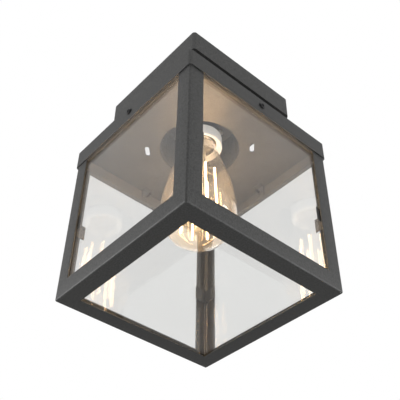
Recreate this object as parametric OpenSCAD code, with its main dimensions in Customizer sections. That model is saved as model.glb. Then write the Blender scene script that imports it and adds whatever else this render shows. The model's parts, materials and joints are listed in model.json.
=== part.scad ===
// Porch ceiling lantern: a square glazed cage under a folded lid, hung from a square ceiling canopy
// by a short round neck. All sizes are in millimetres. The origin is the middle of the ceiling
// bracket's upper face, in the ceiling's plane, and +Z is up, so the lantern hangs towards -Z.
// Front is -Y, right is +X, back is +Y and left is -X.

/* [Canopy] */
// Outside width of the square canopy against the ceiling
canopy_w = 122; // [120:1:126]
// Height of the canopy
canopy_h = 24.4; // [24:0.1:27]
// Thickness of the folded steel sheet of canopy, neck, lid and frame
sheet_t = 1.2; // [1:0.1:1.4]
// Outside radius of the upright corners of canopy and lid
corner_r = 3; // [2:0.5:4]
// Width and height of the foam gasket inside the canopy's rim
gasket_w = 3; // [2:0.5:3.5]

/* [Ceiling bracket] */
// Length of the steel bar
bracket_len = 112; // [110:1:112]
// Width of the steel bar
bracket_w = 20; // [16:1:22]
// Thickness of the steel bar
bracket_t = 2; // [1.5:0.5:2.5]
// Distance between the centres of the two ceiling slots
slot_spacing = 70; // [68:1:71]
// End-to-end length of a ceiling slot
slot_len = 20; // [16:1:20]
// Width of a ceiling slot
slot_w = 4.6; // [4.2:0.1:5.2]
// Distance between the two canopy studs
stud_spacing = 100; // [98:1:102]

/* [Neck] */
// Inside radius of the neck and of the round hole in the lid
neck_bore_r = 35.6; // [35:0.1:37]
// Clear height between the canopy and the lid
neck_h = 41.2; // [40:0.1:44]
// Outside radius of the neck's bottom flange
neck_flange_r = 43; // [41:0.5:43.5]

/* [Lid] */
// Outside width of the square lid
lid_w = 163; // [163:0.1:163.4]
// Height of the lid's skirt
lid_h = 18.4; // [18.4:0.1:20]
// Distance of each vent slot's centre from the lid's middle
vent_dist = 47.5; // [47:0.5:52]
// End-to-end length of a vent slot
vent_len = 11.8; // [10:0.1:13]
// Width of a vent slot
vent_w = 4; // [3:0.1:5]

/* [Cage] */
// Outside width of the square cage
cage_w = 160; // [159.6:0.1:160]
// Height of the cage below the lid's lower edge
cage_h = 147; // [145:1:160]
// Width of each leg of the corner posts
post_leg = 14.5; // [13:0.5:16]
// Width of each leg of the bottom rails
rail_leg = 15; // [13:0.5:16]
// Width of the top rails' inward flange
top_flange = 5; // [4.5:0.1:6]
// Thickness of the glass panes
pane_t = 3; // [2.5:0.1:3.2]
// Height of a corner clip
clip_h = 14; // [10:1:20]

/* [Cage screws] */
// Radius of a cage screw's shank
screw_r = 1.5; // [1.4:0.05:1.6]
// Length of a cage screw's shank under its head
screw_len = 10; // [9:0.5:10.5]
// Radius of a cage screw's pan head
screw_head_r = 3; // [2.7:0.1:3.3]

/* [Lampholder] */
// Outside radius of the lampholder's collar
holder_r = 19.8; // [19:0.1:21]
// Inside radius of the lampholder's mouth
holder_mouth_r = 16.6; // [16:0.1:17.2]
// How far the lampholder's mouth lies above the lid's upper face
holder_recess = 0.6; // [0.2:0.1:2]

/* [Bulb] */
// Largest radius of the bulb's glass
bulb_r = 32; // [30:0.5:33]
// Length of the bulb from its contact to its tip
bulb_len = 140; // [136:1:143]
// Radius of the ring of the filaments' upper ends
filament_top_r = 14; // [12:0.5:14.5]
// Radius of the ring of the filaments' lower ends
filament_foot_r = 17; // [15:0.5:18]

/* [Hidden] */

$fn = 48;

// Finishes
charcoal = [0.24, 0.24, 0.235];
zinc = [0.78, 0.78, 0.76];
black_zinc = [0.14, 0.14, 0.14];
brass_colour = [0.80, 0.64, 0.32];
porcelain = [0.95, 0.95, 0.93];
clear_glass = [0.85, 0.90, 0.90, 0.35];
amber_glass = [0.90, 0.72, 0.45, 0.35];
glow = [1.0, 0.85, 0.55];

// Clearance of a screw in the hole that holds it, and of one piece set beside another
tapped_gap = 0.05;
set_gap = 0.2;

// Levels, from the ceiling down
canopy_floor = -(canopy_h - sheet_t);
lid_top = -(canopy_h + neck_h);
lid_under = lid_top - sheet_t;
skirt_edge = lid_top - lid_h;
cage_bottom = skirt_edge - cage_h;

// Cage
cage_half = cage_w / 2;
pane_half = cage_half - sheet_t;
pane_inner = pane_half - pane_t;
pane_side = pane_inner - 2 * set_gap;
bend_r = corner_r - (lid_w - cage_w) / 2;
rail_floor = cage_bottom + sheet_t;
top_rail_z = skirt_edge - set_gap;
top_rail_h = 15;
clip_t = 0.6;
clip_reach = 13;
clip_z = cage_bottom + 67;

// Cage screws, with the lugs that hold their threads
screw_z = lid_top - 8.6;
screw_start = lid_w / 2;
screw_head_h = 1.8;
notch_half = screw_r + 0.5;
lug_w = 9;
lug_foot = 6;
lug_outer = pane_half - set_gap;
lug_below_screw = 5;
collar_r = 2.8;
collar_h = 1.2;

// Machine screws, studs and nuts
m4_r = 2;
m4_hole_r = 2.2;
m4_nut_r = 4.04;
m4_nut_h = 3.2;
m4_head_r = 3.6;
m4_head_h = 2.2;
washer_r = 4.5;
washer_t = 0.8;
dome_r = 3.5;
stud_top = -0.3;
stud_bottom = -(canopy_h + 6.1);
neck_screw_dist = 24;

// Threaded nipple that carries the lampholder
nipple_r = 5;
nipple_bore_r = 3.5;
nipple_top = -15;
nipple_bottom = -30;
nipple_nut_r = 8.1;
nipple_nut_h = 3;

// Lampholder, from its mouth up
mouth_z = lid_top + holder_recess;
mouth_depth = 5;
collar_top = mouth_z + 12.2;
cover_top = -canopy_h - sheet_t - 2 * set_gap;
cover_t = 0.6;
holder_top = cover_top - cover_t - tapped_gap;
holder_shoulder_r = 16.4;
holder_bore_r = 14.3;
socket_top = mouth_z + 29;
shell_r = 14.2;
shell_t = 0.6;
shell_top = socket_top - 2.4;
contact_t = 0.6;

// Bulb, from its contact down
contact_z = socket_top - contact_t - set_gap;
cap_top = contact_z - 2.4;
cap_bottom = mouth_z + 1.6;
cap_r = 13.2;
cap_root_r = 12.7;
cap_bore_r = 12.1;
cap_shoulder_h = 1.6;
thread_pitch = 3.6;
thread_turns = 5;
glass_t = 0.8;
glass_neck_r = 14;
glass_start = cap_bottom - set_gap;
glass_seat = cap_bottom + 2.6;
glass_seat_r = cap_bore_r - tapped_gap;
flank_top = glass_start - (glass_neck_r - glass_seat_r);
bulb_tip = contact_z - bulb_len;
bulb_waist = bulb_tip + bulb_r;
profile_steps = 14;
flank_power = 1.15;
filament_top = bulb_waist + 48;
filament_bottom = bulb_waist - 14;
filament_r = 0.8;
filament_count = 8;
wire_r = 0.35;
stem_r = 4.6;
pillar_r = 2.2;
stem_tube_end = filament_top + 6;
stem_end = filament_bottom - 2;

// Wiring and its terminals
lead_r = 1.1;
lead_sides = 8;
lead_steps = 3;
lead_z = canopy_floor + 4.5;
block_size = [34, 15, 12];
block_y = 41;
pole_pitch = 11;
pole_screw_y = 4;
pole_screw_r = 1.6;
earth_x = 30;
earth_y = -34;

// Route of the live lead, from inside the lampholder up the nipple and over to its terminal; the
// neutral lead is its mirror image
live_route = [
    [-1.4, 0, -31], [-1.4, 0, -22], [-1.4, 0.5, -14], [-3, 5, -9.5], [-7, 13, -9.5],
    [-10.5, 22, -14], [-11, 29, -18], [-11, 34, lead_z], [-11, 40, lead_z],
];
// Route of the earth lead, from the middle terminal round to the earth screw
earth_route = [
    [0, 42, lead_z], [0, 49.5, lead_z], [0, 51.5, lead_z], [8, 55, -17], [20, 48, -15], [25, 33, -13.5],
    [26, 14, -13], [28, -6, -14], [29.5, -20, -19], [30, -29.4, canopy_floor + lead_r],
];

// A square plate with rounded upright corners, standing on z = 0
module rounded_plate(w, r, h) {
    translate([0, 0, h / 2]) {
        cube([w - 2 * r, w, h], center = true);
        cube([w, w - 2 * r, h], center = true);
    }
    for (x = [-1, 1], y = [-1, 1])
        translate([x * (w / 2 - r), y * (w / 2 - r), 0])
            cylinder(r = r, h = h);
}

// A slotted hole along X, centred on the origin
module slot_hole(len, w, h) {
    cube([len - w, w, h], center = true);
    for (x = [-1, 1])
        translate([x * (len - w) / 2, 0, 0])
            cylinder(d = w, h = h, center = true);
}

// A cylinder that hangs down from the level z
module drop(r, z, h) {
    translate([0, 0, z - h])
        cylinder(r = r, h = h);
}

// A hexagon nut with its upper face at the level z
module nut(r, z, h, bore_r) {
    difference() {
        translate([0, 0, z - h])
            cylinder(r = r, h = h, $fn = 6);
        drop(bore_r, z + 1, h + 2);
    }
}

// The cross recess of a screw head whose top is at z = 0
module cross_recess(size, depth) {
    for (turn = [0, 90])
        rotate(turn)
            cube([size, size / 4, 2 * depth], center = true);
}

// A pan-head screw: the head stands on z = 0 and the shank hangs from it
module pan_screw(head_r, head_h, shank_r, shank_len) {
    difference() {
        union() {
            rotate_extrude()
                polygon([
                    [0, 0], [head_r, 0], [head_r, 0.5 * head_h], [0.82 * head_r, 0.88 * head_h],
                    [0.5 * head_r, head_h], [0, head_h],
                ]);
            drop(shank_r, 0.1, shank_len + 0.1);
        }
        translate([0, 0, head_h])
            cross_recess(1.1 * head_r, 0.55 * head_h);
    }
}

// A round rod between two points
module rod(from, to, r) {
    run = to - from;
    translate(from)
        rotate([0, atan2(norm([run[0], run[1]]), run[2]), atan2(run[1], run[0])])
            cylinder(r = r, h = norm(run), $fn = 16);
}

// Copies its children to both ends of the stud spacing
module at_studs() {
    for (x = [-1, 1])
        translate([x * stud_spacing / 2, 0, 0])
            children();
}

// Copies its children to both neck screws
module at_neck_screws() {
    for (y = [-1, 1])
        translate([0, y * neck_screw_dist, 0])
            children();
}

// Copies its children to both screws of the terminal block
module at_block_screws() {
    for (x = [-1, 1])
        translate([x * pole_pitch / 2, block_y, 0])
            children();
}

// ---- Ceiling bracket and canopy ----

module ceiling_bracket() {
    color(zinc)
        difference() {
            translate([0, 0, -bracket_t / 2])
                cube([bracket_len, bracket_w, bracket_t], center = true);
            for (x = [-1, 1])
                translate([x * slot_spacing / 2, 0, -bracket_t / 2])
                    slot_hole(slot_len, slot_w, 3 * bracket_t);
            at_studs()
                drop(m4_r + tapped_gap, 1, 3 * bracket_t);
        }
}

module canopy_studs() {
    color(zinc)
        at_studs()
            drop(m4_r, stud_top, stud_top - stud_bottom);
}

module stud_lock_nuts() {
    color(zinc)
        at_studs()
            nut(m4_nut_r, -bracket_t, m4_nut_h, m4_r + tapped_gap);
}

module cap_washers() {
    color(zinc)
        at_studs()
            difference() {
                drop(washer_r, -canopy_h, washer_t);
                drop(m4_hole_r, 1 - canopy_h, 2 * washer_t + 1);
            }
}

// Acorn nuts: a hexagon closed by a dome below
module cap_nuts() {
    nut_top = -canopy_h - washer_t;
    dome_z = nut_top - m4_nut_h;
    color(charcoal)
        at_studs()
            difference() {
                union() {
                    translate([0, 0, dome_z])
                        cylinder(r = m4_nut_r, h = m4_nut_h, $fn = 6);
                    intersection() {
                        translate([0, 0, dome_z])
                            sphere(r = dome_r);
                        drop(2 * dome_r, dome_z + 1, 2 * dome_r);
                    }
                }
                drop(m4_r + tapped_gap, nut_top + 1, nut_top + 1 - stud_bottom + set_gap);
            }
}

// A shallow tray, open towards the ceiling
module canopy() {
    color(charcoal)
        difference() {
            translate([0, 0, -canopy_h])
                rounded_plate(canopy_w, corner_r, canopy_h);
            translate([0, 0, canopy_floor])
                rounded_plate(canopy_w - 2 * sheet_t, corner_r - sheet_t, 2 * canopy_h);
            drop(nipple_r + set_gap, 0, 2 * canopy_h);
            at_studs()
                drop(m4_hole_r, 0, 2 * canopy_h);
            at_neck_screws()
                drop(m4_hole_r, 0, 2 * canopy_h);
            at_block_screws()
                drop(screw_r + tapped_gap, 0, 2 * canopy_h);
            translate([earth_x, earth_y, 0])
                drop(m4_r + tapped_gap, 0, 2 * canopy_h);
        }
}

module canopy_gasket() {
    outer = canopy_w - 2 * sheet_t;
    inner = outer - 2 * gasket_w;
    color("dimgray")
        difference() {
            translate([0, 0, -gasket_w])
                rounded_plate(outer, corner_r - sheet_t, gasket_w);
            cube([inner, inner, 3 * gasket_w], center = true);
        }
}

// ---- Wiring inside the canopy ----

// Three poles, each an open wire way along Y with a clamp screw from above on each side
module terminal_block() {
    top = canopy_floor + block_size[2];
    color("ivory")
        difference() {
            translate([-block_size[0] / 2, block_y - block_size[1] / 2, canopy_floor])
                cube(block_size);
            for (pole = [-1, 0, 1])
                translate([pole * pole_pitch, block_y, 0]) {
                    translate([0, -block_size[1], lead_z])
                        rotate([-90, 0, 0])
                            cylinder(r = lead_r + set_gap, h = 2 * block_size[1]);
                    for (side = [-1, 1])
                        translate([0, side * pole_screw_y, 0])
                            drop(pole_screw_r + tapped_gap, top + 1, top + 1 - lead_z);
                }
            at_block_screws()
                drop(screw_r + set_gap, 0, 2 * canopy_h);
        }
}

module terminal_screws() {
    top = canopy_floor + block_size[2] - 1;
    bottom = lead_z + lead_r + tapped_gap;
    color(brass_colour)
        for (pole = [-1, 0, 1], side = [-1, 1])
            translate([pole * pole_pitch, block_y + side * pole_screw_y, 0])
                difference() {
                    drop(pole_screw_r, top, top - bottom);
                    translate([0, 0, top])
                        cube([4 * pole_screw_r, 0.5, 1.2], center = true);
                }
}

module block_screws() {
    block_top = canopy_floor + block_size[2];
    color(zinc)
        at_block_screws()
            translate([0, 0, block_top])
                pan_screw(0.85 * screw_head_r, screw_head_h, screw_r, block_size[2] + sheet_t + 1);
}

// A brass screw through the canopy's floor, with the ring terminal of the earth lead under its head
module earth_screw() {
    ring_t = 0.8;
    color(brass_colour)
        translate([earth_x, earth_y, canopy_floor]) {
            cylinder(r = washer_r, h = ring_t);
            translate([0, 0, ring_t])
                pan_screw(m4_head_r, m4_head_h, m4_r, ring_t + sheet_t + 2);
        }
}

// The point at the fraction t of the smooth curve through b and c, with neighbours a and d
function curve_point(a, b, c, d, t) =
    0.5 * (2 * b + (c - a) * t + (2 * a - 5 * b + 4 * c - d) * t * t
        + (3 * b - a - 3 * c + d) * t * t * t);

// A smooth curve through the route's points, with lead_steps points to each stretch
function smooth_route(route) =
    let (last = len(route) - 1)
    [
        for (i = [0:last - 1], step = [0:lead_steps - 1])
            curve_point(
                route[max(i - 1, 0)], route[i], route[i + 1], route[min(i + 2, last)], step / lead_steps
            ),
        route[last],
    ];

function unit(v) = v / norm(v);

// The direction of the path at its point i
function path_run(path, i) = unit(path[min(i + 1, len(path) - 1)] - path[max(i - 1, 0)]);

// The part of n that is square to the direction d, with length 1
function square_to(n, d) = unit(n - (n * d) * d);

// One insulated wire along a route: rings of points carried along the path without twist
module lead(route, first_side) {
    path = smooth_route(route);
    last = len(path) - 1;
    sides = [
        for (i = 0, n = square_to(first_side, path_run(path, 0)); i <= last;
            i = i + 1, n = i > last ? n : square_to(n, path_run(path, i))) n
    ];
    points = [
        for (i = [0:last], k = [0:lead_sides - 1])
            let (a = 360 * k / lead_sides)
            path[i] + lead_r * (cos(a) * sides[i] + sin(a) * cross(path_run(path, i), sides[i]))
    ];
    faces = concat(
        [[for (k = [lead_sides - 1:-1:0]) k]],
        [for (i = [0:last - 1], k = [0:lead_sides - 1])
            let (next = (k + 1) % lead_sides, low = i * lead_sides, high = low + lead_sides)
            [low + k, low + next, high + next]],
        [for (i = [0:last - 1], k = [0:lead_sides - 1])
            let (next = (k + 1) % lead_sides, low = i * lead_sides, high = low + lead_sides)
            [low + k, high + next, high + k]],
        [[for (k = [0:lead_sides - 1]) last * lead_sides + k]]
    );
    polyhedron(points = points, faces = [for (f = faces) [for (j = [len(f) - 1:-1:0]) f[j]]]);
}

module live_lead() {
    color("saddlebrown")
        lead(live_route, [1, 0, 0]);
}

module neutral_lead() {
    color("royalblue")
        lead([for (p = live_route) [-p[0], p[1], p[2]]], [1, 0, 0]);
}

module earth_lead() {
    color("yellowgreen")
        lead(earth_route, [1, 0, 0]);
}

// ---- Neck and lampholder ----

// A cup whose closed top bolts to the canopy and whose bottom flange is welded to the lid
module neck() {
    outer_r = neck_bore_r + sheet_t;
    color(charcoal)
        difference() {
            union() {
                drop(outer_r, -canopy_h, neck_h);
                translate([0, 0, lid_top])
                    cylinder(r = neck_flange_r, h = sheet_t);
            }
            drop(neck_bore_r, -canopy_h - sheet_t, neck_h);
            drop(nipple_r + set_gap, 0, 2 * canopy_h);
            at_neck_screws()
                drop(m4_hole_r, 0, 2 * canopy_h);
        }
}

// Screwed up from inside the neck, with the nuts in the canopy
module neck_screws() {
    under = -canopy_h - sheet_t;
    color(zinc)
        at_neck_screws()
            translate([0, 0, under])
                mirror([0, 0, 1])
                    pan_screw(m4_head_r, m4_head_h, m4_r, 2 * sheet_t + m4_nut_h + 1);
}

module neck_nuts() {
    color(zinc)
        at_neck_screws()
            nut(m4_nut_r, canopy_floor + m4_nut_h, m4_nut_h, m4_r + tapped_gap);
}

module nipple() {
    color(zinc)
        difference() {
            drop(nipple_r, nipple_top, nipple_top - nipple_bottom);
            drop(nipple_bore_r, 0, 2 * canopy_h);
        }
}

module nipple_nut() {
    color(zinc)
        nut(nipple_nut_r, canopy_floor + nipple_nut_h, nipple_nut_h, nipple_r + tapped_gap);
}

// A porcelain body: a wide collar round the mouth, a narrower shoulder above it
module lampholder() {
    color(porcelain)
        difference() {
            union() {
                drop(holder_r, collar_top, collar_top - mouth_z);
                drop(holder_shoulder_r, holder_top, holder_top - collar_top + 1);
            }
            drop(nipple_r + tapped_gap, holder_top + 1, holder_top + 1 - nipple_bottom);
            drop(nipple_bore_r, holder_top, holder_top - nipple_bottom + 2);
            drop(holder_bore_r, socket_top, neck_h);
            drop(holder_mouth_r, mouth_z + mouth_depth, 2 * mouth_depth);
        }
}

// A dark steel cup over the porcelain's shoulder, clamped between the neck and the nipple's thread
module holder_cover() {
    inside_r = holder_shoulder_r + tapped_gap;
    color(charcoal)
        difference() {
            drop(inside_r + cover_t, cover_top, cover_top - collar_top - tapped_gap);
            drop(inside_r, cover_top - cover_t, cover_top - collar_top);
            drop(nipple_r + set_gap, cover_top + 1, cover_t + 2);
        }
}

// The metal shell that takes the bulb's cap
module holder_shell() {
    height = shell_top - (mouth_z + mouth_depth);
    color(brass_colour)
        difference() {
            drop(shell_r, shell_top, height);
            drop(shell_r - shell_t, shell_top + 1, height + 2);
        }
}

module centre_contact() {
    color(brass_colour)
        drop(5, socket_top, contact_t);
}

// ---- Lid ----

module lid() {
    skirt_bore = lid_w - 2 * sheet_t;
    color(charcoal)
        difference() {
            translate([0, 0, skirt_edge])
                rounded_plate(lid_w, corner_r, lid_h);
            translate([0, 0, lid_under - 2 * lid_h])
                rounded_plate(skirt_bore, corner_r - sheet_t, 2 * lid_h);
            drop(neck_bore_r, lid_top + 1, 2 * lid_h);
            for (way = [45, 225])
                rotate(way)
                    translate([vent_dist, 0, lid_top])
                        rotate(90)
                            slot_hole(vent_len, vent_w, 4 * sheet_t);
            for (side = [0:3])
                rotate(90 * side)
                    translate([0, -screw_start + 2 * sheet_t, screw_z])
                        rotate([90, 0, 0])
                            cylinder(r = screw_r + set_gap, h = 4 * sheet_t);
        }
}

// One lug: a foot welded under the lid, a leg inside the top rail and a tapped collar in the leg
module lid_lug() {
    leg_h = lid_under - screw_z + lug_below_screw;
    difference() {
        union() {
            translate([-lug_w / 2, -lug_outer, lid_under - leg_h])
                cube([lug_w, sheet_t, leg_h]);
            translate([-lug_w / 2, -lug_outer, lid_under - sheet_t])
                cube([lug_w, lug_foot, sheet_t]);
            translate([0, -lug_outer, screw_z])
                rotate([-90, 0, 0])
                    cylinder(r = collar_r, h = sheet_t + collar_h);
        }
        translate([0, -lug_outer - 1, screw_z])
            rotate([-90, 0, 0])
                cylinder(r = screw_r + tapped_gap, h = sheet_t + collar_h + 2);
    }
}

module lid_lugs() {
    color(charcoal)
        for (side = [0:3])
            rotate(90 * side)
                lid_lug();
}

// ---- Bulb ----

// The rolled thread of the cap: a row of rounded crests, closed by a plain skirt below
module bulb_cap() {
    steps = 8;
    thread_top = cap_top - cap_shoulder_h;
    crest = (cap_r - cap_root_r) / 2;
    wave = [
        for (i = [0:thread_turns * steps])
            [cap_root_r + crest * (1 - cos(360 * i / steps)), thread_top - thread_pitch * i / steps]
    ];
    color(zinc)
        rotate_extrude()
            polygon(concat(
                [[cap_root_r - 2, cap_top]], wave,
                [[cap_r, cap_bottom + 0.8], [cap_r, cap_bottom], [cap_bore_r, cap_bottom],
                    [cap_bore_r, thread_top], [cap_root_r - 2.6, cap_top]]
            ));
}

module bulb_insulator() {
    bottom = cap_top - cap_shoulder_h - 1;
    color([0.12, 0.12, 0.13])
        rotate_extrude()
            polygon([
                [0, contact_z - contact_t], [4.8, contact_z - contact_t], [cap_root_r - 2.6, cap_top],
                [cap_bore_r, cap_top - cap_shoulder_h], [cap_bore_r, bottom], [0, bottom],
            ]);
}

module bulb_contact() {
    color(zinc)
        drop(4.6, contact_z, contact_t);
}

// Radius of the glass between its neck (t = 0) and its widest ring (t = 1)
function flank_r(t) = glass_neck_r + (bulb_r - glass_neck_r) * pow(sin(90 * t), flank_power);

// Outline of the glass, drawn in by the distance inset: seat in the cap, sloping shoulder, flank
// and half-round dome
function glass_outline(inset) = [
    [glass_seat_r - inset, glass_seat],
    [glass_seat_r - inset, glass_start],
    for (i = [0:profile_steps])
        [flank_r(i / profile_steps) - inset, flank_top - (flank_top - bulb_waist) * i / profile_steps],
    for (i = [1:profile_steps - 1])
        let (a = 90 * i / profile_steps)
        [(bulb_r - inset) * cos(a), bulb_waist - (bulb_r - inset) * sin(a)],
    [0, bulb_waist - bulb_r + inset],
];

module bulb_glass() {
    inner = glass_outline(glass_t);
    color(amber_glass)
        rotate_extrude($fn = 64)
            polygon(concat(
                glass_outline(0),
                [for (i = [len(inner) - 1:-1:0]) inner[i]]
            ));
}

// The glass stem: a flare melted to the bulb's neck, a tube, and a long pillar with a button end
module stem_solid() {
    flare_r = glass_seat_r - glass_t;
    rotate_extrude()
        polygon([
            [flare_r, glass_seat], [flare_r, glass_seat - 0.8], [8, glass_seat - 3.6],
            [5.4, glass_seat - 7], [stem_r, glass_seat - 12], [stem_r, stem_tube_end],
            [3.4, stem_tube_end - 2], [pillar_r, stem_tube_end - 3], [pillar_r, stem_end + 3],
            [3, stem_end + 2], [3, stem_end], [0, stem_end], [0, stem_tube_end + 2],
            [stem_r - 1, stem_tube_end + 4], [stem_r - 1, glass_seat - 11.6],
            [4.6, glass_seat - 6.6], [7.4, glass_seat - 3], [flare_r - 1, glass_seat],
        ]);
}

module bulb_stem() {
    color(clear_glass)
        stem_solid();
}

// A point at the level z on the ring of radius r, in the direction of the filament i
function on_ring(i, r, z) =
    let (a = 360 * (i + 0.5) / filament_count)
    [r * cos(a), r * sin(a), z];

// Straight rods round the stem, spread wider at their feet
module filament_rods() {
    for (i = [0:filament_count - 1])
        rod(on_ring(i, filament_foot_r, filament_bottom), on_ring(i, filament_top_r, filament_top), filament_r);
}

module filaments() {
    color(glow)
        filament_rods();
}

// Two spiders of fine wire from the stem to the ends of the filaments, cut off where they meet them
module filament_wires() {
    color(zinc)
        difference() {
            for (i = [0:filament_count - 1]) {
                rod(on_ring(i, 2.6, stem_tube_end - 1), on_ring(i, filament_top_r, filament_top), wire_r);
                rod(on_ring(i, 1.4, stem_end + 1.5), on_ring(i, filament_foot_r, filament_bottom), wire_r);
            }
            stem_solid();
            filament_rods();
        }
}

// ---- Cage screws: side 0 is the front, and each further side is a quarter turn on ----

module cage_screw(side) {
    color(black_zinc)
        rotate(90 * side)
            translate([0, -screw_start, screw_z])
                rotate([90, 0, 0])
                    pan_screw(screw_head_r, screw_head_h, screw_r, screw_len);
}

// ---- Cage: corner 0 is the front left one, and side 0 is the front ----

// Rounds the upright corners of its children to the frame's bend, between z and z + height; the bend
// leaves the top rails clear of the lid's inner corners
module bent_corners(z, height) {
    intersection() {
        union()
            children();
        translate([0, 0, z])
            rounded_plate(cage_w, bend_r, height);
    }
}

// An angle section that stands upright in a corner, between the rails
module post(corner) {
    low = cage_bottom + rail_leg;
    color(charcoal)
        rotate(90 * corner)
            bent_corners(low, top_rail_z - low)
                translate([-cage_half, -cage_half, low])
                    linear_extrude(top_rail_z - low)
                        polygon([
                            [0, 0], [post_leg, 0], [post_leg, sheet_t],
                            [sheet_t, sheet_t], [sheet_t, post_leg], [0, post_leg],
                        ]);
}

// A strip along the front side, mitred at both ends: depth inward, height upward from the level z
module mitred_strip(depth, z, height) {
    translate([0, -cage_half, z])
        linear_extrude(height)
            polygon([
                [-cage_half, 0], [cage_half, 0], [cage_half - depth, depth], [depth - cage_half, depth],
            ]);
}

module bottom_rail(side) {
    color(charcoal)
        rotate(90 * side)
            bent_corners(cage_bottom, rail_leg) {
                mitred_strip(rail_leg, cage_bottom, sheet_t);
                mitred_strip(sheet_t, cage_bottom, rail_leg);
            }
}

// The upright leg has a notch for the cage screw, open at the top, so that the cage can be lowered
module top_rail(side) {
    color(charcoal)
        rotate(90 * side)
            difference() {
                bent_corners(top_rail_z, top_rail_h) {
                    mitred_strip(top_flange, top_rail_z, sheet_t);
                    mitred_strip(sheet_t, top_rail_z, top_rail_h);
                }
                translate([0, -cage_half, screw_z]) {
                    rotate([90, 0, 0])
                        cylinder(r = notch_half, h = 4 * sheet_t, center = true);
                    translate([-notch_half, -2 * sheet_t, 0])
                        cube([2 * notch_half, 4 * sheet_t, top_rail_h]);
                }
            }
}

module pane(side) {
    color(clear_glass)
        rotate(90 * side)
            translate([-pane_side, -pane_half, rail_floor])
                cube([2 * pane_side, pane_t, top_rail_z - set_gap - rail_floor]);
}

module bottom_pane() {
    half = pane_inner - set_gap;
    color(clear_glass)
        translate([-half, -half, rail_floor])
            cube([2 * half, 2 * half, pane_t]);
}

// A bent strip of spring steel in each corner: the edges of its tail are welded to the post's legs,
// and its two wings press the panes outwards
module corner_clips() {
    tail = (pane_half - pane_inner) * sqrt(2) - clip_t / 2;
    color(charcoal)
        for (corner = [0:3])
            rotate(90 * corner)
                translate([-pane_inner, -pane_inner, clip_z])
                    linear_extrude(clip_h) {
                        polygon([
                            [0, 0], [clip_reach, 0], [clip_reach, clip_t],
                            [clip_t, clip_t], [clip_t, clip_reach], [0, clip_reach],
                        ]);
                        rotate(225)
                            translate([-clip_t, -clip_t / 2])
                                square([tail + clip_t, clip_t]);
                    }
}

ceiling_bracket();
canopy_studs();
stud_lock_nuts();
cap_washers();
cap_nuts();
canopy();
canopy_gasket();
terminal_block();
terminal_screws();
block_screws();
earth_screw();
live_lead();
neutral_lead();
earth_lead();
neck();
neck_screws();
neck_nuts();
nipple();
nipple_nut();
lampholder();
holder_cover();
holder_shell();
centre_contact();
lid();
lid_lugs();
bulb_cap();
bulb_insulator();
bulb_contact();
bulb_glass();
bulb_stem();
filaments();
filament_wires();
cage_screw(0);  // cage_screw_front
cage_screw(1);  // cage_screw_right
cage_screw(2);  // cage_screw_back
cage_screw(3);  // cage_screw_left
post(0);  // post_front_left
post(1);  // post_front_right
post(2);  // post_back_right
post(3);  // post_back_left
bottom_rail(0);  // bottom_rail_front
bottom_rail(1);  // bottom_rail_right
bottom_rail(2);  // bottom_rail_back
bottom_rail(3);  // bottom_rail_left
top_rail(0);  // top_rail_front
top_rail(1);  // top_rail_right
top_rail(2);  // top_rail_back
top_rail(3);  // top_rail_left
pane(0);  // pane_front
pane(1);  // pane_right
pane(2);  // pane_back
pane(3);  // pane_left
bottom_pane();
corner_clips();
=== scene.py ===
"""A porch ceiling lantern: folded steel canopy, neck and lid, a glazed cage below, and a lit bulb inside.

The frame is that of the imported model, in metres: the origin lies in the ceiling's plane, +Z is up, the
front is -Y and the right is +X. Outlines and routes are worked out in millimetres and scaled by MM.
"""

import json

import bmesh
import bpy
import numpy as np
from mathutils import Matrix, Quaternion, Vector

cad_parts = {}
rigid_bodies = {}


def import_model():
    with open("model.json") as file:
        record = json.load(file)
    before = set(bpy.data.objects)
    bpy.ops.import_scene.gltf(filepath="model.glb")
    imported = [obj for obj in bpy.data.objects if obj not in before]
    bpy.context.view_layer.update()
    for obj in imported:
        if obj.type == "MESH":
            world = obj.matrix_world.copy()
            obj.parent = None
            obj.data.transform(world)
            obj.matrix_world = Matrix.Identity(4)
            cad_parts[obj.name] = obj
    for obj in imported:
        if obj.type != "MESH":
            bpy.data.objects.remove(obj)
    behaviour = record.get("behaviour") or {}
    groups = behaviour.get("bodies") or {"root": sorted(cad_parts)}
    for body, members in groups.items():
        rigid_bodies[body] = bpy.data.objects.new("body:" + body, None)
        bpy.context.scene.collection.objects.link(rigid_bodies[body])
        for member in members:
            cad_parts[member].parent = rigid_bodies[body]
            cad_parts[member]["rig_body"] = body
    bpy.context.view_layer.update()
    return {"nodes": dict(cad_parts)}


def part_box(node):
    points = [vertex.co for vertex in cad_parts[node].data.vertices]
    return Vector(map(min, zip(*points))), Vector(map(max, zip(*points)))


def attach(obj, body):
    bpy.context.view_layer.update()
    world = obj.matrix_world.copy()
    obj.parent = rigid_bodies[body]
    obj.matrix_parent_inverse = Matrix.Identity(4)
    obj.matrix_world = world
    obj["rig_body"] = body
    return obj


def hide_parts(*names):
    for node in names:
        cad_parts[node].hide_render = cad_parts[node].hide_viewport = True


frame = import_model()
nodes = frame["nodes"]
MM = 0.001

# ---- The view ----
# The photograph was taken from close below the lantern's front right corner, looking up, with the
# camera turned by less than a degree.
camera_place = Vector((349.3, -300.0, -541.4)) * MM
camera_azimuth, camera_elevation, camera_roll = np.radians([49.22, -41.87, 0.79])
SENSOR_WIDTH = 36.0
FOCAL_LENGTH = 63.47
NEAREST_SEEN = 0.01

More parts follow.
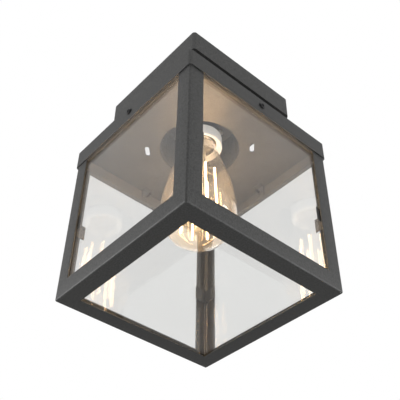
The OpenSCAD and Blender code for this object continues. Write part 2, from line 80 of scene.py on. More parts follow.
camera = bpy.data.objects.new("camera", bpy.data.cameras.new("camera"))
camera.data.sensor_width = SENSOR_WIDTH
camera.data.lens = FOCAL_LENGTH
camera.data.clip_start = NEAREST_SEEN
camera.location = camera_place
towards_camera = Vector((
    np.sin(camera_azimuth) * np.cos(camera_elevation),
    -np.cos(camera_azimuth) * np.cos(camera_elevation),
    np.sin(camera_elevation),
))
camera.rotation_mode = "QUATERNION"
camera.rotation_quaternion = towards_camera.to_track_quat("Z", "Y") @ Quaternion((0, 0, 1), camera_roll)
bpy.context.scene.collection.objects.link(camera)
bpy.context.scene.camera = camera
bpy.context.scene.view_settings.view_transform = "Standard"


# ---- Ceiling bracket and its studs ----
# A slotted bar of zinc-plated steel, screwed to the ceiling. Two threaded studs are locked into it with
# nuts and carry the canopy.
NOISE_LOW, NOISE_HIGH = 0.3, 0.7
MERGE_DISTANCE = 0.002 * MM
FLAT_ANGLE = np.radians(0.5)
EASED_ANGLE = np.radians(30)


def set_values(material, values):
    """Sets constant values on the Principled shader's own sockets."""
    shader = material.node_tree.nodes["Principled BSDF"]
    for socket, value in values.items():
        shader.inputs[socket].default_value = value


def finish(name, colour, roughness, metallic=0.0):
    """A new material: its Principled shader has the constant values, and more nodes may be added."""
    material = bpy.data.materials.new(name)
    material.use_nodes = True
    set_values(material, {"Base Color": (*colour, 1), "Roughness": roughness, "Metallic": metallic})
    return material


def grain(material, size, low, high, detail=3.0):
    """A noise of the given grain size in metres, on Object coordinates, whose usual range is spread from
    low to high."""
    tree = material.node_tree
    place = tree.nodes.new("ShaderNodeTexCoord")
    noise = tree.nodes.new("ShaderNodeTexNoise")
    noise.inputs["Scale"].default_value = 1 / size
    noise.inputs["Detail"].default_value = detail
    spread = tree.nodes.new("ShaderNodeMapRange")
    spread.inputs["From Min"].default_value = NOISE_LOW
    spread.inputs["From Max"].default_value = NOISE_HIGH
    spread.inputs["To Min"].default_value = low
    spread.inputs["To Max"].default_value = high
    tree.links.new(place.outputs["Object"], noise.inputs["Vector"])
    tree.links.new(noise.outputs["Fac"], spread.inputs["Value"])
    return spread.outputs["Result"]


def drive(material, socket, value):
    """Links a value worked out by nodes to a socket of the Principled shader."""
    material.node_tree.links.new(value, material.node_tree.nodes["Principled BSDF"].inputs[socket])


def tint(material, value, dark, light):
    """Links the base colour to a blend from dark to light."""
    tree = material.node_tree
    blend = tree.nodes.new("ShaderNodeMix")
    blend.data_type = "RGBA"
    blend.inputs["A"].default_value = (*dark, 1)
    blend.inputs["B"].default_value = (*light, 1)
    tree.links.new(value, blend.inputs["Factor"])
    drive(material, "Base Color", blend.outputs["Result"])


def relief(material, value, depth, strength=1.0):
    """Bumps the surface by a height from 0 to 1, whose full depth is given in metres."""
    tree = material.node_tree
    bump = tree.nodes.new("ShaderNodeBump")
    bump.inputs["Distance"].default_value = depth
    bump.inputs["Strength"].default_value = strength
    tree.links.new(value, bump.inputs["Height"])
    drive(material, "Normal", bump.outputs["Normal"])


def eased(node, width, segments=3):
    """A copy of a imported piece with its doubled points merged, its flat faces joined into one, and every
    edge that is sharper than EASED_ANGLE rounded off over the given width."""
    packed = nodes[node]
    mesh = packed.data.copy()
    shape = bmesh.new()
    shape.from_mesh(mesh)
    bmesh.ops.remove_doubles(shape, verts=shape.verts, dist=MERGE_DISTANCE)
    bmesh.ops.dissolve_limit(
        shape, angle_limit=FLAT_ANGLE, verts=shape.verts, edges=shape.edges, use_dissolve_boundaries=False
    )
    shape.to_mesh(mesh)
    shape.free()
    mesh.shade_smooth()
    mesh.set_sharp_from_angle(angle=EASED_ANGLE)
    piece = bpy.data.objects.new("eased_" + node, mesh)
    bpy.context.scene.collection.objects.link(piece)
    bevel = piece.modifiers.new("eased edges", "BEVEL")
    bevel.width = width
    bevel.segments = segments
    bevel.limit_method = "ANGLE"
    bevel.angle_limit = EASED_ANGLE
    bevel.harden_normals = True
    bevel.miter_outer = "MITER_ARC"
    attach(piece, packed["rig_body"])
    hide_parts(node)
    return piece


def coat(piece, *materials):
    """Gives a piece its materials in place of any that it has."""
    piece.data.materials.clear()
    for material in materials:
        piece.data.materials.append(material)


zinc_plate = finish("zinc_plate", (0.62, 0.62, 0.60), 0.32, metallic=1.0)
tint(zinc_plate, grain(zinc_plate, 6 * MM, 0, 1), (0.52, 0.53, 0.53), (0.70, 0.69, 0.65))
drive(zinc_plate, "Roughness", grain(zinc_plate, 1.5 * MM, 0.26, 0.44))
relief(zinc_plate, grain(zinc_plate, 0.5 * MM, 0, 1), 0.02 * MM)

bracket = eased("ceiling_bracket", 0.25 * MM)
coat(bracket, zinc_plate)
for hardware in ("canopy_studs", "stud_lock_nuts", "cap_washers"):
    coat(nodes[hardware], zinc_plate)


# ---- Canopy ----
# A shallow square tray folded from steel sheet, its corners welded and ground, with a fine-textured
# charcoal powder coat outside and a grey primer inside. Two acorn nuts hold it up on the studs.
COAT_DARK = (0.029, 0.029, 0.0284)
COAT_LIGHT = (0.075, 0.075, 0.0733)
COAT_GRAIN = 1.1 * MM
EDGE_ROUND = 0.5 * MM

charcoal_coat = finish("charcoal_coat", COAT_DARK, 0.5)
tint(charcoal_coat, grain(charcoal_coat, COAT_GRAIN, 0, 1), COAT_DARK, COAT_LIGHT)
drive(charcoal_coat, "Roughness", grain(charcoal_coat, 2.2 * MM, 0.46, 0.58))
relief(charcoal_coat, grain(charcoal_coat, COAT_GRAIN, 0, 1, detail=2.0), 0.09 * MM, 0.8)

PRIMER_DARK = (0.075, 0.075, 0.075)
PRIMER_LIGHT = (0.098, 0.098, 0.098)
grey_primer = finish("grey_primer", PRIMER_DARK, 0.4)
tint(grey_primer, grain(grey_primer, 9 * MM, 0, 1), PRIMER_DARK, PRIMER_LIGHT)
drive(grey_primer, "Roughness", grain(grey_primer, 3 * MM, 0.32, 0.42))
set_values(grey_primer, {"Specular IOR Level": 0.6})
relief(grey_primer, grain(grey_primer, 0.8 * MM, 0, 1), 0.03 * MM, 0.5)


def prime_inside(piece, half, below=None, above=None, is_round=False):
    """Gives the second material to the faces whose middles lie within a square of the given half width,
    or a circle of that radius, about the upright axis, and below or above a level where one is given."""
    mesh = piece.data
    count = len(mesh.polygons)
    middles = np.empty(3 * count)
    mesh.polygons.foreach_get("center", middles)
    middles = middles.reshape(count, 3)
    reach = np.hypot(middles[:, 0], middles[:, 1]) if is_round else np.abs(middles[:, :2]).max(1)
    inside = reach <= half
    if below is not None:
        inside &= middles[:, 2] <= below
    if above is not None:
        inside &= middles[:, 2] >= above
    mesh.polygons.foreach_set("material_index", inside.astype(np.int32))


SHEET = 1.2 * MM
HAIR = 0.02 * MM
canopy_low, canopy_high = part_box("canopy")
canopy_tray = eased("canopy", EDGE_ROUND)
coat(canopy_tray, charcoal_coat, grey_primer)
prime_inside(canopy_tray, canopy_high.x - SHEET + HAIR, above=canopy_low.z + SHEET - HAIR)
coat(nodes["cap_nuts"], charcoal_coat)

# ---- Canopy gasket ----
# A frame cut from closed-cell foam rubber and stuck inside the canopy's rim, where it keeps the weather
# out of the wiring.
foam = finish("foam", (0.02, 0.02, 0.02), 0.9)
tint(foam, grain(foam, 0.7 * MM, 0, 1), (0.012, 0.012, 0.012), (0.035, 0.035, 0.034))
relief(foam, grain(foam, 0.6 * MM, 0, 1, detail=1.0), 0.15 * MM)
foam_strip = eased("canopy_gasket", 0.5 * MM)
coat(foam_strip, foam)

# ---- Terminal block and earth screw ----
# A moulded nylon block with three poles and brass clamp screws, held down by two screws, and a brass
# earth screw with its ring terminal.
ivory_nylon = finish("ivory_nylon", (0.70, 0.66, 0.52), 0.45)
set_values(ivory_nylon, {"Subsurface Weight": 0.15})
tint(ivory_nylon, grain(ivory_nylon, 5 * MM, 0, 1), (0.66, 0.62, 0.49), (0.74, 0.70, 0.57))
relief(ivory_nylon, grain(ivory_nylon, 1.0 * MM, 0, 1), 0.03 * MM)
brass = finish("brass", (0.78, 0.56, 0.25), 0.28, metallic=1.0)
tint(brass, grain(brass, 2.5 * MM, 0, 1), (0.66, 0.46, 0.20), (0.84, 0.62, 0.30))
drive(brass, "Roughness", grain(brass, 1.2 * MM, 0.22, 0.40))
moulded_block = eased("terminal_block", 0.4 * MM)
coat(moulded_block, ivory_nylon)
for brass_piece in ("terminal_screws", "earth_screw"):
    coat(nodes[brass_piece], brass)
coat(nodes["block_screws"], zinc_plate)


# ---- Inner leads ----
# Three single insulated wires: live and neutral go from the terminal block down the nipple to the
# lampholder, and the earth goes to the earth screw. Each is held at both ends.
def skinned(name, rings, body, closed_path=False, sharpest=40):
    """A mesh over rings[i, j], where i counts stations along a path and j the points of the profile
    there. Neighbouring stations are joined by quads. An open path is closed by a face at each end."""
    stations, points = rings.shape[:2]
    i = np.arange(stations if closed_path else stations - 1)[:, None]
    j = np.arange(points)[None, :]
    here, onward = i * points, (i + 1) % stations * points
    following = (j + 1) % points
    quads = np.stack([here + j, here + following, onward + following, onward + j], -1)
    faces = quads.reshape(-1, 4).tolist()
    if not closed_path:
        faces += [list(range(points)), list(range((stations - 1) * points, stations * points))]
    mesh = bpy.data.meshes.new(name)
    mesh.from_pydata(rings.reshape(-1, 3), [], faces)
    shape = bmesh.new()
    shape.from_mesh(mesh)
    bmesh.ops.remove_doubles(shape, verts=shape.verts, dist=MERGE_DISTANCE)
    bmesh.ops.dissolve_degenerate(shape, edges=shape.edges, dist=MERGE_DISTANCE)
    bmesh.ops.recalc_face_normals(shape, faces=shape.faces)
    shape.to_mesh(mesh)
    shape.free()
    mesh.shade_smooth()
    mesh.set_sharp_from_angle(angle=np.radians(sharpest))
    piece = bpy.data.objects.new(name, mesh)
    bpy.context.scene.collection.objects.link(piece)
    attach(piece, body)
    return piece


def smooth_route(route, steps):
    """A smooth curve through the route's points: between two points each coordinate is the cubic whose
    slope at a point is half the way from the point before it to the point after it."""
    route = np.array(route, float)
    padded = np.vstack([route[:1], route, route[-1:]])
    before, start, end, after = padded[:-3], padded[1:-2], padded[2:-1], padded[3:]
    t = (np.arange(steps) / steps)[None, :, None]
    a, b, c, d = (p[:, None, :] for p in (before, start, end, after))
    curve = 0.5 * (
        2 * b + (c - a) * t + (2 * a - 5 * b + 4 * c - d) * t**2 + (3 * b - a - 3 * c + d) * t**3
    )
    return np.vstack([curve.reshape(-1, 3), route[-1:]])


def tube_rings(path, radius, sides, first_side):
    """Circles of the given radius square to the path: the cosine of the angle along one direction and the
    sine along another square to it. Each circle is turned as little as possible from the last."""
    runs = np.gradient(path, axis=0)
    runs /= np.linalg.norm(runs, axis=1, keepdims=True)
    side = np.array(first_side, float)
    firsts = []
    for run in runs:
        side = side - (side @ run) * run
        side = side / np.linalg.norm(side)
        firsts.append(side)
    firsts = np.array(firsts)
    seconds = np.cross(runs, firsts)
    around = np.linspace(0, 2 * np.pi, sides, endpoint=False)[None, :, None]
    return path[:, None] + radius * (np.cos(around) * firsts[:, None] + np.sin(around) * seconds[:, None])


LEAD_RADIUS = 1.1 * MM
CLAMP_HEIGHT = 4.5
LEAD_SIDES = 16
STEPS_BETWEEN_POINTS = 8
floor_z = (canopy_low.z + SHEET) / MM
lead_z = floor_z + CLAMP_HEIGHT
live_route = [
    (-1.4, 0, -31), (-1.4, 0, -22), (-1.4, 0.5, -14), (-3, 5, -9.5), (-7, 13, -9.5),
    (-10.5, 22, -14), (-11, 29, -18), (-11, 34, lead_z), (-11, 40, lead_z),
]
neutral_route = [(-x, y, z) for x, y, z in live_route]
earth_route = [
    (0, 42, lead_z), (0, 49.5, lead_z), (0, 51.5, lead_z), (8, 55, -17), (20, 48, -15), (25, 33, -13.5),
    (26, 14, -13), (28, -6, -14), (29.5, -20, -19), (30, -29.4, floor_z + LEAD_RADIUS / MM),
]


def insulation(name, colour):
    """Soft PVC insulation with a faint sheen."""
    material = finish(name, colour, 0.42)
    lighter = tuple(min(1.0, 1.25 * part) for part in colour)
    tint(material, grain(material, 4 * MM, 0, 1), colour, lighter)
    relief(material, grain(material, 0.6 * MM, 0, 1), 0.02 * MM)
    return material


for lead, route, slot, colour in (
    ("live_lead", live_route, "lead_brown", (0.11, 0.045, 0.018)),
    ("neutral_lead", neutral_route, "lead_blue", (0.02, 0.07, 0.33)),
    ("earth_lead", earth_route, "lead_green_yellow", (0.10, 0.30, 0.03)),
):
    path = smooth_route(route, STEPS_BETWEEN_POINTS) * MM
    wire = skinned("insulated_" + lead, tube_rings(path, LEAD_RADIUS, LEAD_SIDES, (1, 0, 0)), "fixture")
    coat(wire, insulation(slot, colour))
    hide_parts(lead)

# ---- Neck ----
# A drawn steel cup. Its closed top is bolted to the canopy with two screws and nuts, a threaded nipple
# and its nut go through the middle, and its bottom flange is spot-welded to the lid.
NECK_BORE = 35.6 * MM
neck_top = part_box("neck")[1].z
neck_cup = eased("neck", 0.4 * MM)
coat(neck_cup, charcoal_coat, grey_primer)
prime_inside(neck_cup, NECK_BORE + HAIR, below=neck_top - SHEET + HAIR, is_round=True)
for hardware in ("neck_screws", "neck_nuts", "nipple", "nipple_nut"):
    coat(nodes[hardware], zinc_plate)


# ---- Lampholder ----
# Glazed porcelain with a faint painted glow: a wide collar round the mouth and a narrower shoulder above,
# under a dark steel cover.
# Inside are a brass thread shell and a sprung brass contact.
def rounded_outline(corners, radii, steps=6):
    """A closed outline with an arc at each corner. The arc's centre is on the corner's bisector, at the
    radius over the sine of half the corner's angle; a radius of nothing keeps the corner."""
    corners = np.array(corners, float)
    radii = np.broadcast_to(np.array(radii, float), len(corners))
    back = np.roll(corners, 1, 0) - corners
    ahead = np.roll(corners, -1, 0) - corners
    back /= np.linalg.norm(back, axis=1, keepdims=True)
    ahead /= np.linalg.norm(ahead, axis=1, keepdims=True)
    half = 0.5 * np.arccos(np.clip((back * ahead).sum(1), -1, 1))
    bisector = back + ahead
    bisector /= np.linalg.norm(bisector, axis=1, keepdims=True)
    centres = corners + bisector * (radii / np.sin(half))[:, None]
    first = corners + back * (radii / np.tan(half))[:, None] - centres
    last = corners + ahead * (radii / np.tan(half))[:, None] - centres
    start = np.arctan2(first[:, 1], first[:, 0])
    sweep = (np.arctan2(last[:, 1], last[:, 0]) - start + np.pi) % (2 * np.pi) - np.pi
    angles = start[:, None] + sweep[:, None] * np.linspace(0, 1, steps)
    arcs = np.stack([np.cos(angles), np.sin(angles)], -1)
    return (centres[:, None] + radii[:, None, None] * arcs).reshape(-1, 2)


def turned(name, outline, body, steps=96, sharpest=40):
    """A solid of revolution: each (radius, level) point of the outline goes round the upright axis, with x
    as the radius times the cosine of the angle and y as the radius times its sine."""
    around = np.linspace(0, 2 * np.pi, steps, endpoint=False)[:, None]
    radius, level = outline[None, :, 0], outline[None, :, 1]
    rings = np.stack([np.cos(around) * radius, np.sin(around) * radius, level + 0 * around], -1)
    return skinned(name, rings, body, closed_path=True, sharpest=sharpest)


porcelain_glaze_painted_glow = finish("porcelain_glaze_painted_glow", (0.93, 0.93, 0.92), 0.18)
tint(porcelain_glaze_painted_glow, grain(porcelain_glaze_painted_glow, 7 * MM, 0, 1), (0.91, 0.91, 0.90), (0.96, 0.96, 0.95))
relief(porcelain_glaze_painted_glow, grain(porcelain_glaze_painted_glow, 5 * MM, 0, 1), 0.06 * MM, 0.5)
# The emission is a painted glow: it brightens the white porcelain in place of the bulb's light falling on
# the holder.
set_values(porcelain_glaze_painted_glow, {
    "Coat Weight": 0.5,
    "Coat Roughness": 0.06,
    "Emission Color": (1.0, 0.97, 0.92, 1),
    "Emission Strength": 0.42,
})

COVER_GAP = 0.05
SHOULDER_RADIUS = 16.4
MOUTH_RADIUS = 16.6
SOCKET_RADIUS = 14.3
NIPPLE_HOLE = 5.05
LEAD_HOLE = 3.5
LEAD_HOLE_DEPTH = 2
holder_low, holder_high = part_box("lampholder")
mouth_z, holder_top = holder_low.z / MM, holder_high.z / MM
collar_radius = holder_high.x / MM
collar_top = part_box("holder_cover")[0].z / MM - COVER_GAP
socket_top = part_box("centre_contact")[1].z / MM
shell_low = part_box("holder_shell")[0].z / MM
nipple_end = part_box("nipple")[0].z / MM
lead_hole_end = nipple_end - LEAD_HOLE_DEPTH
holder_outline = rounded_outline(
    [
        (NIPPLE_HOLE, holder_top), (SHOULDER_RADIUS, holder_top), (SHOULDER_RADIUS, collar_top),
        (collar_radius, collar_top), (collar_radius, mouth_z), (MOUTH_RADIUS, mouth_z),
        (MOUTH_RADIUS, shell_low), (SOCKET_RADIUS, shell_low), (SOCKET_RADIUS, socket_top),
        (0, socket_top), (0, lead_hole_end), (LEAD_HOLE, lead_hole_end), (LEAD_HOLE, nipple_end),
        (NIPPLE_HOLE, nipple_end),
    ],
    [0.4, 1.0, 0.0, 1.0, 1.0, 0.8, 0.6, 0.4, 0.4, 0.0, 0.0, 0.0, 0.0, 0.0],
)
porcelain_body = turned("porcelain_body", holder_outline * MM, "fixture")
coat(porcelain_body, porcelain_glaze_painted_glow)
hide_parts("lampholder")
steel_cover = eased("holder_cover", 0.15 * MM)
coat(steel_cover, charcoal_coat)
for brass_piece in ("holder_shell", "centre_contact"):
    coat(nodes[brass_piece], brass)

# ---- Lid ----
# Folded from one steel sheet: a plate with a round hole and two vent slots, and a skirt with the holes
# of the cage screws. Four tapped lugs are welded under it.
lid_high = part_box("lid")[1]
folded_lid = eased("lid", EDGE_ROUND)
coat(folded_lid, charcoal_coat, grey_primer)
prime_inside(folded_lid, lid_high.x - SHEET + HAIR, below=lid_high.z - SHEET + HAIR)
tapped_lugs = eased("lid_lugs", 0.25 * MM)
coat(tapped_lugs, grey_primer)

# ---- Bulb cap ----
# A rolled shell of nickel-plated brass with a round thread, a black glass insulator and a soldered
# contact at its top.
cap_metal = finish("cap_metal", (0.70, 0.66, 0.58), 0.22, metallic=1.0)
tint(cap_metal, grain(cap_metal, 4 * MM, 0, 1), (0.60, 0.56, 0.48), (0.76, 0.73, 0.66))
drive(cap_metal, "Roughness", grain(cap_metal, 1.2 * MM, 0.16, 0.34))
black_glass = finish("black_glass", (0.010, 0.010, 0.012), 0.12)
relief(black_glass, grain(black_glass, 2 * MM, 0, 1), 0.05 * MM)

cap_low, cap_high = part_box("bulb_cap")
CAP_ROOT, CAP_BORE = 12.7 * MM, 12.1 * MM
CAP_SHOULDER = 1.6 * MM
CAP_RIM = 0.8 * MM
CROWN_OUTSIDE, CROWN_INSIDE = CAP_ROOT - 2 * MM, CAP_ROOT - 2.6 * MM
THREAD_PITCH, THREAD_TURNS = 3.6 * MM, 5
THREAD_RUNOUT = 0.6 * THREAD_PITCH
cap_crest = cap_high.x
thread_top = cap_high.z - CAP_SHOULDER
thread_bottom = thread_top - THREAD_PITCH * THREAD_TURNS


def rolled_rings(stations=96, levels=90):
    """Down the outside the radius goes from root to crest and back in a cosine wave of one pitch, which
    moves on by a pitch in a whole turn and fades out towards both ends. Round the rim, up the bore and
    over the crown it stays the same for all stations."""
    turn = np.linspace(0, 2 * np.pi, stations, endpoint=False)[:, None]
    level = np.linspace(thread_top, thread_bottom, levels)[None, :]
    fade = np.clip(np.minimum(thread_top - level, level - thread_bottom) / THREAD_RUNOUT, 0, 1)
    wave = 0.5 - 0.5 * np.cos(2 * np.pi * (level - thread_top) / THREAD_PITCH + turn)
    thread_radius = CAP_ROOT + (cap_crest - CAP_ROOT) * fade * wave
    inside = np.array([
        (cap_crest, cap_low.z + CAP_RIM), (cap_crest, cap_low.z), (CAP_BORE, cap_low.z),
        (CAP_BORE, thread_top), (CROWN_INSIDE, cap_high.z), (CROWN_OUTSIDE, cap_high.z),
    ])
    radii = np.hstack([thread_radius, np.tile(inside[:, 0], (stations, 1))])
    heights = np.hstack([np.tile(level, (stations, 1)), np.tile(inside[:, 1], (stations, 1))])
    return np.stack([np.cos(turn) * radii, np.sin(turn) * radii, heights], -1)


rolled_cap = skinned("rolled_cap", rolled_rings(), "bulb", closed_path=True)
coat(rolled_cap, cap_metal)
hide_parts("bulb_cap")
coat(nodes["bulb_contact"], cap_metal)
coat(nodes["bulb_insulator"], black_glass)

# ---- Bulb glass and stem ----
# The envelope is blown glass with a pale amber coat, melted to the flared foot of a slightly cloudy glass
# stem that carries the filaments.
GLASS_WALL = 0.8
GLASS_SEAT_RADIUS = 12.05
GLASS_NECK_RADIUS = 14.0
SEAT_DEPTH = 2.8
FLANK_POWER = 1.15
PROFILE_STEPS = 48


def let_light_through(material, colour):
    """Lets the light of lamps pass glass without bending, so that it reaches what is behind it."""
    tree = material.node_tree
    shader = tree.nodes["Principled BSDF"]
    clear = tree.nodes.new("ShaderNodeBsdfTransparent")
    clear.inputs["Color"].default_value = (*colour, 1)
    ray = tree.nodes.new("ShaderNodeLightPath")
    choice = tree.nodes.new("ShaderNodeMixShader")
    tree.links.new(ray.outputs["Is Shadow Ray"], choice.inputs["Fac"])
    tree.links.new(shader.outputs["BSDF"], choice.inputs[1])
    tree.links.new(clear.outputs["BSDF"], choice.inputs[2])
    tree.links.new(choice.outputs["Shader"], tree.nodes["Material Output"].inputs["Surface"])


def glass(name, colour, shadow_colour, ior=1.5):
    """Smooth see-through glass, tinted where light enters and leaves it."""
    material = finish(name, colour, 0.0)
    set_values(material, {"Transmission Weight": 1.0, "IOR": ior})
    let_light_through(material, shadow_colour)
    return material


amber_glass = glass("amber_glass", (0.985, 0.945, 0.88), (0.97, 0.94, 0.89))
set_values(amber_glass, {"Transmission Weight": 0.975})
relief(amber_glass, grain(amber_glass, 30 * MM, 0, 1, detail=0.0), 0.25 * MM, 0.3)
stem_glass = glass("stem_glass", (0.97, 0.93, 0.82), (0.95, 0.95, 0.93))
set_values(stem_glass, {"Transmission Weight": 0.7})
relief(stem_glass, grain(stem_glass, 6 * MM, 0, 1, detail=0.0), 0.2 * MM, 0.3)

glass_low, glass_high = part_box("bulb_glass")
bulb_radius = glass_high.x / MM
glass_seat = glass_high.z / MM
glass_start = glass_seat - SEAT_DEPTH
flank_top = glass_start - (GLASS_NECK_RADIUS - GLASS_SEAT_RADIUS)
bulb_waist = glass_low.z / MM + bulb_radius
along = np.linspace(0, 1, PROFILE_STEPS)
quarter_wave = 0.5 * np.pi * along


def glass_outline(inset):
    """The seat in the cap, a sloping shoulder, a flank that widens as a power of a quarter sine wave, and
    a half-round dome; the inner wall is drawn in by the inset."""
    widening = (bulb_radius - GLASS_NECK_RADIUS) * np.sin(quarter_wave) ** FLANK_POWER
    flank = np.stack([
        GLASS_NECK_RADIUS + widening - inset,
        flank_top - (flank_top - bulb_waist) * along,
    ], -1)
    dome = np.stack([
        (bulb_radius - inset) * np.cos(quarter_wave[1:]),
        bulb_waist - (bulb_radius - inset) * np.sin(quarter_wave[1:]),
    ], -1)
    seat = np.array([(GLASS_SEAT_RADIUS - inset, glass_seat), (GLASS_SEAT_RADIUS - inset, glass_start)])
    return np.vstack([seat, flank, dome])


envelope = turned(
    "blown_envelope", np.vstack([glass_outline(0), glass_outline(GLASS_WALL)[::-1]]) * MM, "bulb",
    steps=128, sharpest=60,
)
coat(envelope, amber_glass)
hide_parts("bulb_glass")
coat(nodes["bulb_stem"], stem_glass)

# ---- Filaments ----
# Eight straight glowing rods stand round the stem, spread wider at their feet, between two spiders of
# fine nickel wire.
GLOW_COLOUR = (1.0, 0.68, 0.38)
GLOW_STRENGTH = 52.0
filament_glow = finish("filament_glow", (0.9, 0.8, 0.6), 0.6)
set_values(filament_glow, {"Emission Color": (*GLOW_COLOUR, 1), "Emission Strength": GLOW_STRENGTH})
tint(filament_glow, grain(filament_glow, 1.0 * MM, 0, 1), (0.85, 0.62, 0.30), (1.0, 0.85, 0.55))
coat(nodes["filaments"], filament_glow)
nickel_wire = finish("nickel_wire", (0.50, 0.48, 0.44), 0.3, metallic=1.0)
tint(nickel_wire, grain(nickel_wire, 3 * MM, 0, 1), (0.40, 0.38, 0.34), (0.58, 0.56, 0.52))
coat(nodes["filament_wires"], nickel_wire)

# ---- Cage screws ----
# Four black-passivated pan-head screws with a cross recess, through the middle of each side of the skirt
# into the lugs.
black_zinc = finish("black_zinc", (0.06, 0.06, 0.062), 0.3, metallic=0.8)
tint(black_zinc, grain(black_zinc, 2 * MM, 0, 1), (0.04, 0.04, 0.042), (0.09, 0.09, 0.09))
drive(black_zinc, "Roughness", grain(black_zinc, 1.0 * MM, 0.22, 0.40))
for side in ("front", "right", "back", "left"):
    coat(nodes["cage_screw_" + side], black_zinc)


# ---- Cage frame ----
# Folded steel angles, welded into a box with ground joints and coated in one piece: four posts, a
# bottom frame that the panes stand in, and a top frame with an inward flange.
BEND_OUTSIDE = 1.5
BEND_INSIDE = 0.4
LEG_EDGE = 0.35
LEAST_BEND = 0.02
cage_half = -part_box("bottom_rail_front")[0].y / MM


def angle_outline(leg, thickness, second_edge=LEG_EDGE):
    """An angle section in its corner: one leg along each axis, with a rounded bend and rounded edges. The
    second leg's edge may be left sharp, where another piece is welded flush to it."""
    return rounded_outline(
        [
            (0, 0), (leg, 0), (leg, thickness), (thickness, thickness),
            (thickness, leg), (0, leg),
        ],
        [BEND_OUTSIDE, LEG_EDGE, LEG_EDGE, BEND_INSIDE, second_edge, second_edge],
    )


for post in ("front_left", "front_right", "back_right", "back_left"):
    node = "post_" + post
    low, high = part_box(node)
    leg = (high.x - low.x) / MM
    section = cage_half - angle_outline(leg, SHEET / MM)
    signs = np.array([np.sign(low.x + high.x), np.sign(low.y + high.y)])
    stations = np.array([low.z, high.z]) / MM
    rings = np.zeros((2, len(section), 3))
    rings[:, :, :2] = section * signs
    rings[:, :, 2] = stations[:, None]
    upright = skinned("folded_" + node, rings * MM, "cage")
    coat(upright, charcoal_coat)
    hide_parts(node)


def rail_rings(outline, half, corner, steps=6):
    """Carries an outline of (inward, upward) points along one side of a square with rounded corners,
    from mitre to mitre. A point further in runs on a smaller square, whose corner radius is smaller by
    the same amount, but never less than LEAST_BEND."""
    inward, upward = outline[:, 0], outline[:, 1]
    radius = np.maximum(corner - inward, LEAST_BEND)
    straight = half - inward - radius
    angles = np.radians(45) * np.linspace(1, 0, steps)[:, None]
    left = np.stack([-straight - radius * np.sin(angles), -straight - radius * np.cos(angles)], -1)
    right = left[::-1] * (-1, 1)
    flat = np.vstack([left, right])
    return np.concatenate([flat, np.broadcast_to(upward[None, :, None], (2 * steps, len(outline), 1))], -1)


def turn_to_side(rings, side):
    """Turns points of the front side by quarter turns about the upright axis."""
    angle = np.pi / 2 * side
    turned_rings = rings.copy()
    turned_rings[..., 0] = np.cos(angle) * rings[..., 0] - np.sin(angle) * rings[..., 1]
    turned_rings[..., 1] = np.sin(angle) * rings[..., 0] + np.cos(angle) * rings[..., 1]
    return turned_rings


rail_low, rail_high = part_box("bottom_rail_front")
rail_leg = (rail_high.z - rail_low.z) / MM
for side, name in enumerate(("front", "right", "back", "left")):
    outline = angle_outline(rail_leg, SHEET / MM, second_edge=0) + (0, rail_low.z / MM)
    rings = turn_to_side(rail_rings(outline, cage_half, BEND_OUTSIDE), side)
    rail = skinned("folded_bottom_rail_" + name, rings * MM, "cage")
    coat(rail, charcoal_coat)
    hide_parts("bottom_rail_" + name)
    top_rail = eased("top_rail_" + name, 0.3 * MM)
    coat(top_rail, grey_primer)

# ---- Panes ----
# Five panes of 3 mm float glass with ground edges: four stand behind the posts, and one lies in the
# bottom frame.
pane_glass = glass("pane_glass", (0.90, 0.902, 0.895), (0.82, 0.825, 0.82), ior=1.52)
relief(pane_glass, grain(pane_glass, 60 * MM, 0, 1, detail=0.0), 0.3 * MM, 0.2)
ground_edge = finish("ground_edge", (0.15, 0.15, 0.14), 0.7)
tint(ground_edge, grain(ground_edge, 1.5 * MM, 0, 1), (0.13, 0.13, 0.122), (0.17, 0.17, 0.16))
EDGE_COSINE = 0.5


def grind_edges(slab, thin_axis):
    """Gives the second material to the faces whose normals have less than EDGE_COSINE along the slab's
    thin axis, so its two faces and their chamfers stay clear."""
    mesh = slab.data
    normals = np.empty(3 * len(mesh.polygons))
    mesh.polygons.foreach_get("normal", normals)
    along_axis = np.abs(normals.reshape(-1, 3)[:, thin_axis])
    mesh.polygons.foreach_set("material_index", (along_axis < EDGE_COSINE).astype(np.int32))


X, Y, Z = 0, 1, 2
thin_axes = {"pane_front": Y, "pane_right": X, "pane_back": Y, "pane_left": X, "bottom_pane": Z}
for pane, thin_axis in thin_axes.items():
    slab = eased(pane, 0.3 * MM, segments=1)
    coat(slab, pane_glass, ground_edge)
    grind_edges(slab, thin_axis)

# ---- Corner clips ----
# Four bent strips of blackened spring steel. Each stands upright in a corner of the cage and presses two
# panes outwards against the posts.
spring_steel = finish("spring_steel", (0.012, 0.012, 0.012), 0.5)
tint(spring_steel, grain(spring_steel, 2 * MM, 0, 1), (0.009, 0.009, 0.009), (0.017, 0.017, 0.016))
spring_clips = eased("corner_clips", 0.12 * MM, segments=2)
coat(spring_clips, spring_steel)

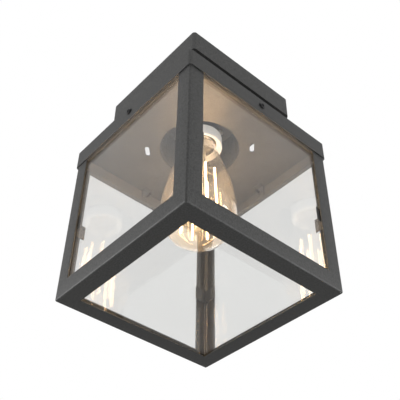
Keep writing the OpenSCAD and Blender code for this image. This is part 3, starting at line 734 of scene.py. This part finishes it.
# ---- Studio ----
# A plain pale floor well below the lantern, and a white surround that lights it less than it shows to the
# camera and through glass. Two soft lights hang above, and two stand far off at the left and the right.
FLOOR_Z = -0.95
FLOOR_HALF = 4.0
SHOWN_LIGHT = 1.0
SURROUND_LIGHT = 0.45
LANTERN_MIDDLE = Vector((0, 0, -0.11))
floor_corners = [(FLOOR_HALF * x, FLOOR_HALF * y, FLOOR_Z) for x, y in ((-1, -1), (1, -1), (1, 1), (-1, 1))]
floor_mesh = bpy.data.meshes.new("floor")
floor_mesh.from_pydata(floor_corners, [], [(0, 1, 2, 3)])
floor = bpy.data.objects.new("floor", floor_mesh)
bpy.context.scene.collection.objects.link(floor)
pale_floor = finish("pale_floor", (0.68, 0.68, 0.675), 0.8)
tint(pale_floor, grain(pale_floor, 0.5, 0, 1), (0.66, 0.66, 0.655), (0.70, 0.70, 0.695))
coat(floor, pale_floor)

world = bpy.data.worlds.new("white surround")
world.use_nodes = True
bpy.context.scene.world = world
surround = world.node_tree.nodes["Background"]
surround.inputs["Color"].default_value = (1.0, 1.0, 1.0, 1)
ray_kind = world.node_tree.nodes.new("ShaderNodeLightPath")
brightness = world.node_tree.nodes.new("ShaderNodeMapRange")
brightness.inputs["To Min"].default_value = SURROUND_LIGHT
brightness.inputs["To Max"].default_value = SHOWN_LIGHT
seen = world.node_tree.nodes.new("ShaderNodeMath")
seen.operation = "MAXIMUM"
world.node_tree.links.new(ray_kind.outputs["Is Camera Ray"], seen.inputs[0])
world.node_tree.links.new(ray_kind.outputs["Is Transmission Ray"], seen.inputs[1])
world.node_tree.links.new(seen.outputs["Value"], brightness.inputs["Value"])
world.node_tree.links.new(brightness.outputs["Result"], surround.inputs["Strength"])

# Places and widths are in metres, and spreads in degrees.
for name, place, width, watts, spread in (
    ("key light", (0.6, -0.6, 1.5), 1.2, 3, 180),
    ("rim light", (-0.4, 0.9, 2.2), 0.8, 4, 180),
    ("left side light", (-1.9, -2.4, -0.1), 1.2, 8.5, 60),
    ("right side light", (2.4, 1.9, -0.1), 1.2, 6.5, 60),
):
    lamp = bpy.data.objects.new(name, bpy.data.lights.new(name, "AREA"))
    lamp.data.size = width
    lamp.data.energy = watts
    lamp.data.spread = np.radians(spread)
    lamp.location = place
    lamp.rotation_mode = "QUATERNION"
    lamp.rotation_quaternion = (Vector(place) - LANTERN_MIDDLE).to_track_quat("Z", "Y")
    bpy.context.scene.collection.objects.link(lamp)
